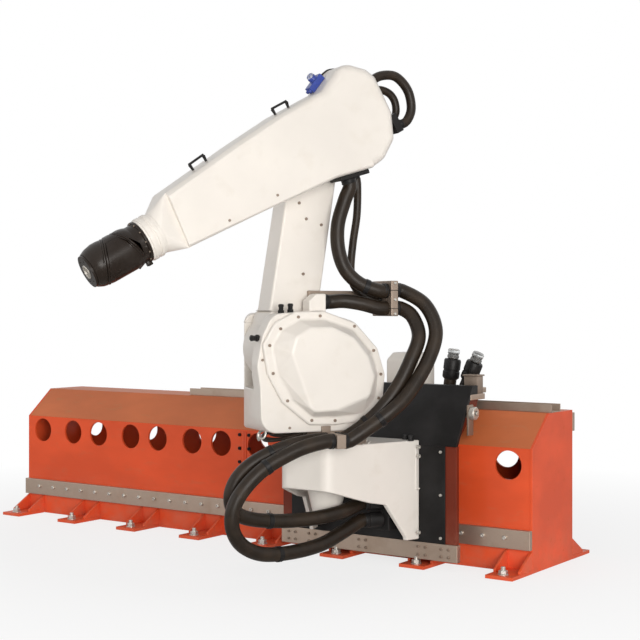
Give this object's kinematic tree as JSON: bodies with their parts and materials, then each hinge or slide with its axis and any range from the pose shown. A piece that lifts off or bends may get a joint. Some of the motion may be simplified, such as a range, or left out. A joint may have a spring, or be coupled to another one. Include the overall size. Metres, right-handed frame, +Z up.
{
  "type": "rail-mounted six-axis painting robot arm",
  "caption": "White six-axis painting robot with a hollow black wrist, on a trolley that travels along a red floor rail; black hose loops feed the arm.",
  "frame": {"origin": "on the floor under the middle of the rail beam, level with the trolley at rest", "axes": "+X along the rail, -Y to the working side, +Z up"},
  "size_m": [3.65, 2.5807, 2.5676],
  "materials": {
    "rail_paint": "semi-gloss",
    "robot_white": "satin",
    "steel": "satin",
    "black_metal": "satin",
    "wrist_black": "semi-gloss",
    "hose_rubber": "matte",
    "blue_plastic": "gloss"
  },
  "bodies": {
    "rail": {"rail_front_plate": "rail_paint", "rail_roof_plate": "rail_paint", "rail_back_plate": "rail_paint", "rail_base_plate": "rail_paint", "rail_end_plates": "rail_paint", "rail_feet": "rail_paint", "foot_gussets": "rail_paint", "front_guide_bar": "steel", "rear_guide_bar": "steel", "cable_tray": "steel"},
    "trolley": {"trolley_frame": "rail_paint", "trolley_panel": "black_metal", "trolley_bar": "steel", "trolley_cover": "black_metal", "guide_rollers": "steel", "travel_drive": "robot_white", "supply_couplings": "black_metal", "console": "robot_white", "gear_cup": "steel", "slew_ring": "steel", "hose_block": "black_metal", "lower_hose_outer": "hose_rubber", "lower_hose_inner": "hose_rubber"},
    "swivel": {"turntable": "steel", "swivel_housing": "robot_white", "near_side_cover": "robot_white", "far_side_cover": "robot_white", "lower_clamp": "steel", "arc_hose_outer": "hose_rubber", "arc_hose_inner": "hose_rubber"},
    "lower_arm": {"lower_arm": "robot_white", "arm_clamp": "steel", "arm_hose_main": "hose_rubber", "arm_hose_short": "hose_rubber", "arm_hose_thin": "hose_rubber"},
    "upper_arm": {"upper_arm": "robot_white", "elbow_boss": "steel", "elbow_plate": "black_metal", "wrist_collar": "robot_white", "lifting_handles": "black_metal", "air_valve": "blue_plastic", "elbow_strap": "black_metal", "elbow_hose_outer": "hose_rubber", "elbow_hose_inner": "hose_rubber"},
    "wrist_neck": {"wrist_neck": "wrist_black"},
    "wrist_middle": {"wrist_middle": "wrist_black"},
    "wrist_head": {"wrist_head": "wrist_black", "tool_flange": "wrist_black"}
  },
  "joints": [
    {"name": "travel", "type": "slide", "parent": "rail", "child": "trolley", "axis": [1, 0, 0], "range_m": [-2.1, 0.25]},
    {"name": "slew", "type": "hinge", "parent": "trolley", "child": "swivel", "pos_m": [0, -0.81, 0.7], "axis": [0, 0, 1], "range_deg": [-60, 120], "deforming": ["lower_hose_outer", "lower_hose_inner"]},
    {"name": "shoulder", "type": "hinge", "parent": "swivel", "child": "lower_arm", "pos_m": [-0.125, -1.02651, 1.15], "axis": [0.866, -0.5, 0], "range_deg": [-35, 75], "deforming": ["arc_hose_outer", "arc_hose_inner", "arm_hose_short"]},
    {"name": "elbow", "type": "hinge", "parent": "lower_arm", "child": "upper_arm", "pos_m": [-0.04248, -0.88358, 2.19201], "axis": [-0.866, 0.5, 0], "range_deg": [-30, 95], "deforming": ["arm_hose_main", "arm_hose_thin"]},
    {"name": "wrist_roll", "type": "hinge", "parent": "upper_arm", "child": "wrist_neck", "pos_m": [-0.36359, -1.81975, 1.66504], "axis": [-0.4373, -0.7574, -0.4848], "continuous": true},
    {"name": "wrist_bend", "type": "hinge", "parent": "wrist_neck", "child": "wrist_middle", "pos_m": [-0.40382, -1.88944, 1.62044], "axis": [-0.1167, -0.6687, -0.7343], "continuous": true},
    {"name": "tool_roll", "type": "hinge", "parent": "wrist_middle", "child": "wrist_head", "pos_m": [-0.4528, -1.97427, 1.56614], "axis": [-0.6823, -0.7152, -0.1515], "continuous": true}
  ]
}
